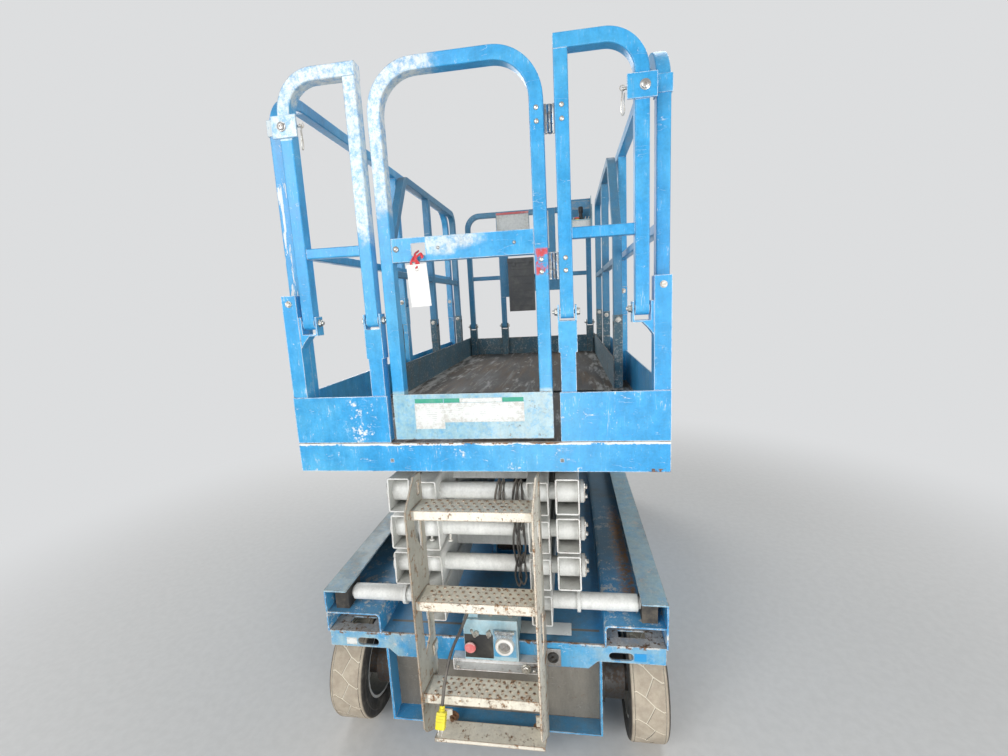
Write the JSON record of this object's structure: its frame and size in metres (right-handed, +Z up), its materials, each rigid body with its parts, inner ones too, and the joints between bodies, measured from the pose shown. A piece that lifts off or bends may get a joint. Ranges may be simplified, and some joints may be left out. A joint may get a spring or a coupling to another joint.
{
  "type": "scissor lift",
  "caption": "Self-propelled scissor lift with a folding-rail platform, roll-out deck, stacked crossed arms and an entry ladder.",
  "frame": {"origin": "on the floor below the middle of the machine's outer box", "axes": "+X to the machine's right seen from the entry ladder, +Y towards the steered end, +Z up"},
  "size_m": [1.17, 2.4366, 2.2799],
  "materials": {
    "blue_paint": "worn sky-blue paint",
    "white_paint": "worn off-white paint",
    "tyre": "grey non-marking rubber",
    "rim_paint": "off-white paint",
    "steel": "bare steel",
    "deck_steel": "worn brown deck plate",
    "black_plastic": "black slide pad",
    "grey_plastic": "dark grey plastic",
    "cast": "machined cast part",
    "red_plastic": "red button",
    "cord_rubber": "black cord",
    "plug_yellow": "yellow plug"
  },
  "bodies": {
    "chassis": {"chassis_rails": "blue_paint", "chassis_tub": "blue_paint", "front_pivot_brackets": "blue_paint", "rear_bumper": "blue_paint", "front_bumper": "blue_paint", "ladder": "white_paint", "ground_control_box": "blue_paint", "control_channel": "white_paint", "ground_controls": "red_plastic", "rear_brake_hubs": "cast", "front_axle_beam": "white_paint", "tray_hinges": "blue_paint", "charger_cord": "cord_rubber", "charger_plug": "plug_yellow", "cord_gland": "black_plastic"},
    "wheel_rear_left": {"tyre_rear_left": "tyre", "rim_rear_left": "rim_paint"},
    "wheel_rear_right": {"tyre_rear_right": "tyre", "rim_rear_right": "rim_paint"},
    "wheel_front_left": {"tyre_front_left": "tyre", "rim_front_left": "rim_paint"},
    "wheel_front_right": {"tyre_front_right": "tyre", "rim_front_right": "rim_paint"},
    "knuckle_left": {"steering_knuckle_left": "cast"},
    "knuckle_right": {"steering_knuckle_right": "cast"},
    "tie_rod": {"tie_rod": "steel"},
    "tray_left": {"tray_left": "blue_paint", "battery_pack": "grey_plastic"},
    "tray_right": {"tray_right": "blue_paint", "hydraulic_unit": "grey_plastic"},
    "outer_arms_1": {"outer_arms_1": "white_paint"},
    "inner_arms_1": {"inner_arms_1": "white_paint"},
    "outer_arms_2": {"outer_arms_2": "white_paint"},
    "inner_arms_2": {"inner_arms_2": "white_paint"},
    "outer_arms_3": {"outer_arms_3": "white_paint"},
    "inner_arms_3": {"inner_arms_3": "white_paint"},
    "outer_arms_4": {"outer_arms_4": "white_paint"},
    "inner_arms_4": {"inner_arms_4": "white_paint"},
    "slide_blocks_low": {"slide_blocks_low": "black_plastic"},
    "slide_blocks_high": {"slide_blocks_high": "black_plastic"},
    "cylinder_barrel": {"lift_cylinder_barrel": "black_plastic"},
    "cylinder_rod": {"lift_cylinder_rod": "steel"},
    "platform": {"platform_frame": "blue_paint", "platform_pivot": "blue_paint", "platform_deck": "deck_steel", "fixed_posts": "blue_paint"},
    "rear_panel_left": {"rear_panel_left": "blue_paint"},
    "gate_frame": {"gate_frame": "blue_paint"},
    "gate": {"gate": "blue_paint"},
    "side_rail_left": {"side_rail_left": "blue_paint"},
    "side_rail_right": {"side_rail_right": "blue_paint"},
    "extension": {"extension_deck": "deck_steel", "extension_toe_boards": "blue_paint"},
    "extension_rail_left": {"extension_rail_left": "blue_paint"},
    "extension_rail_right": {"extension_rail_right": "blue_paint"},
    "front_rail": {"front_rail": "blue_paint", "upper_control_box": "blue_paint", "upper_controls": "grey_plastic", "manual_box": "grey_plastic"}
  },
  "joints": [
    {"name": "lift", "type": "hinge", "parent": "chassis", "child": "outer_arms_1", "pos_m": [0, 1.0815, 0.545], "axis": [-1, 0, 0], "range_deg": [0, 58]},
    {"name": "inner_arms_1_hinge", "type": "hinge", "parent": "outer_arms_1", "child": "inner_arms_1", "pos_m": [0, 0.04857, 0.6105], "axis": [1, 0, 0], "range_deg": [0, 116]},
    {"name": "outer_arms_2_hinge", "type": "hinge", "parent": "inner_arms_1", "child": "outer_arms_2", "pos_m": [0, 1.0815, 0.676], "axis": [-1, 0, 0], "range_deg": [0, 116]},
    {"name": "inner_arms_2_hinge", "type": "hinge", "parent": "outer_arms_2", "child": "inner_arms_2", "pos_m": [0, 0.04857, 0.7415], "axis": [1, 0, 0], "range_deg": [0, 116]},
    {"name": "outer_arms_3_hinge", "type": "hinge", "parent": "inner_arms_2", "child": "outer_arms_3", "pos_m": [0, 1.0815, 0.807], "axis": [-1, 0, 0], "range_deg": [0, 116]},
    {"name": "inner_arms_3_hinge", "type": "hinge", "parent": "outer_arms_3", "child": "inner_arms_3", "pos_m": [0, 0.04857, 0.8725], "axis": [1, 0, 0], "range_deg": [0, 116]},
    {"name": "outer_arms_4_hinge", "type": "hinge", "parent": "inner_arms_3", "child": "outer_arms_4", "pos_m": [0, 1.0815, 0.938], "axis": [-1, 0, 0], "range_deg": [0, 116]},
    {"name": "inner_arms_4_hinge", "type": "hinge", "parent": "outer_arms_4", "child": "inner_arms_4", "pos_m": [0, 0.04857, 1.0035], "axis": [1, 0, 0], "range_deg": [0, 116]},
    {"name": "platform_hinge", "type": "hinge", "parent": "inner_arms_4", "child": "platform", "pos_m": [0, 1.0815, 1.069], "axis": [-1, 0, 0], "range_deg": [0, 58]},
    {"name": "low_block_hinge", "type": "hinge", "parent": "inner_arms_1", "child": "slide_blocks_low", "pos_m": [0, -0.98435, 0.545], "axis": [-1, 0, 0], "range_deg": [0, 58]},
    {"name": "high_block_hinge", "type": "hinge", "parent": "outer_arms_4", "child": "slide_blocks_high", "pos_m": [0, -0.98435, 1.069], "axis": [1, 0, 0], "range_deg": [0, 58]},
    {"name": "cylinder_foot", "type": "hinge", "parent": "chassis", "child": "cylinder_barrel", "pos_m": [0, -0.4685, 0.465], "axis": [1, 0, 0], "range_deg": [0, 40.9]},
    {"name": "cylinder_stroke", "type": "slide", "parent": "cylinder_barrel", "child": "cylinder_rod", "axis": [0, 0.9882, 0.1532], "range_m": [0, 0.899]},
    {"name": "steering", "type": "hinge", "parent": "chassis", "child": "knuckle_left", "pos_m": [-0.405, 0.9565, 0.22], "axis": [0, 0, 1], "range_deg": [-60, 60]},
    {"name": "steering_right", "type": "hinge", "parent": "chassis", "child": "knuckle_right", "pos_m": [0.405, 0.9565, 0.22], "axis": [0, 0, 1], "range_deg": [-60, 60]},
    {"name": "tie_rod_hinge", "type": "hinge", "parent": "knuckle_left", "child": "tie_rod", "pos_m": [-0.405, 0.8515, 0.139], "axis": [0, 0, -1], "range_deg": [-60, 60]},
    {"name": "wheel_front_left_spin", "type": "hinge", "parent": "knuckle_left", "child": "wheel_front_left", "pos_m": [-0.5215, 0.9565, 0.203], "axis": [1, 0, 0], "continuous": true},
    {"name": "wheel_front_right_spin", "type": "hinge", "parent": "knuckle_right", "child": "wheel_front_right", "pos_m": [0.5215, 0.9565, 0.203], "axis": [1, 0, 0], "continuous": true},
    {"name": "wheel_rear_left_spin", "type": "hinge", "parent": "chassis", "child": "wheel_rear_left", "pos_m": [-0.5215, -0.8935, 0.203], "axis": [1, 0, 0], "continuous": true},
    {"name": "wheel_rear_right_spin", "type": "hinge", "parent": "chassis", "child": "wheel_rear_right", "pos_m": [0.5215, -0.8935, 0.203], "axis": [1, 0, 0], "continuous": true},
    {"name": "tray_left_hinge", "type": "hinge", "parent": "chassis", "child": "tray_left", "pos_m": [-0.563, -0.4525, 0.25], "axis": [0, 0, 1], "range_deg": [0, 90]},
    {"name": "tray_right_hinge", "type": "hinge", "parent": "chassis", "child": "tray_right", "pos_m": [0.563, -0.4525, 0.25], "axis": [0, 0, -1], "range_deg": [0, 90]},
    {"name": "extension_slide", "type": "slide", "parent": "platform", "child": "extension", "axis": [0, 1, 0], "range_m": [0, 0.91]},
    {"name": "rear_panel_fold", "type": "hinge", "parent": "platform", "child": "rear_panel_left", "pos_m": [-0.394, -1.0695, 1.518], "axis": [-1, 0, 0], "range_deg": [0, 90]},
    {"name": "gate_frame_fold", "type": "hinge", "parent": "platform", "child": "gate_frame", "pos_m": [0.394, -1.0695, 1.518], "axis": [1, 0, 0], "range_deg": [-90, 0]},
    {"name": "gate_swing", "type": "hinge", "parent": "gate_frame", "child": "gate", "pos_m": [0.258, -1.0465, 1.87], "axis": [0, 0, -1], "range_deg": [0, 90]},
    {"name": "side_rail_left_fold", "type": "hinge", "parent": "platform", "child": "side_rail_left", "pos_m": [-0.56, 0.0315, 1.58], "axis": [0, 1, 0], "range_deg": [0, 90]},
    {"name": "side_rail_right_fold", "type": "hinge", "parent": "platform", "child": "side_rail_right", "pos_m": [0.56, 0.0315, 1.58], "axis": [0, 1, 0], "range_deg": [-90, 0]},
    {"name": "extension_rail_left_fold", "type": "hinge", "parent": "extension", "child": "extension_rail_left", "pos_m": [-0.508, 0.0315, 1.455], "axis": [0, 1, 0], "range_deg": [0, 90]},
    {"name": "extension_rail_right_fold", "type": "hinge", "parent": "extension", "child": "extension_rail_right", "pos_m": [0.508, 0.0315, 1.455], "axis": [0, 1, 0], "range_deg": [-90, 0]},
    {"name": "front_rail_fold", "type": "hinge", "parent": "extension", "child": "front_rail", "pos_m": [0, 1.1615, 1.375], "axis": [1, 0, 0], "range_deg": [0, 90]}
  ],
  "couplings": [
    {"joint": "inner_arms_1_hinge", "follows": "lift", "ratio": 2},
    {"joint": "outer_arms_2_hinge", "follows": "lift", "ratio": 2},
    {"joint": "inner_arms_2_hinge", "follows": "lift", "ratio": 2},
    {"joint": "outer_arms_3_hinge", "follows": "lift", "ratio": 2},
    {"joint": "inner_arms_3_hinge", "follows": "lift", "ratio": 2},
    {"joint": "outer_arms_4_hinge", "follows": "lift", "ratio": 2},
    {"joint": "inner_arms_4_hinge", "follows": "lift", "ratio": 2},
    {"joint": "platform_hinge", "follows": "lift", "ratio": 1},
    {"joint": "low_block_hinge", "follows": "lift", "ratio": 1},
    {"joint": "high_block_hinge", "follows": "lift", "ratio": 1},
    {"joint": "cylinder_foot", "follows": "lift", "ratio": 0.69645},
    {"joint": "cylinder_stroke", "follows": "lift", "m_per_rad": 0.88343},
    {"joint": "steering_right", "follows": "steering", "ratio": 1},
    {"joint": "tie_rod_hinge", "follows": "steering", "ratio": 1},
    {"joint": "extension_rail_left_fold", "follows": "side_rail_left_fold", "ratio": 1},
    {"joint": "extension_rail_right_fold", "follows": "side_rail_right_fold", "ratio": 1}
  ]
}
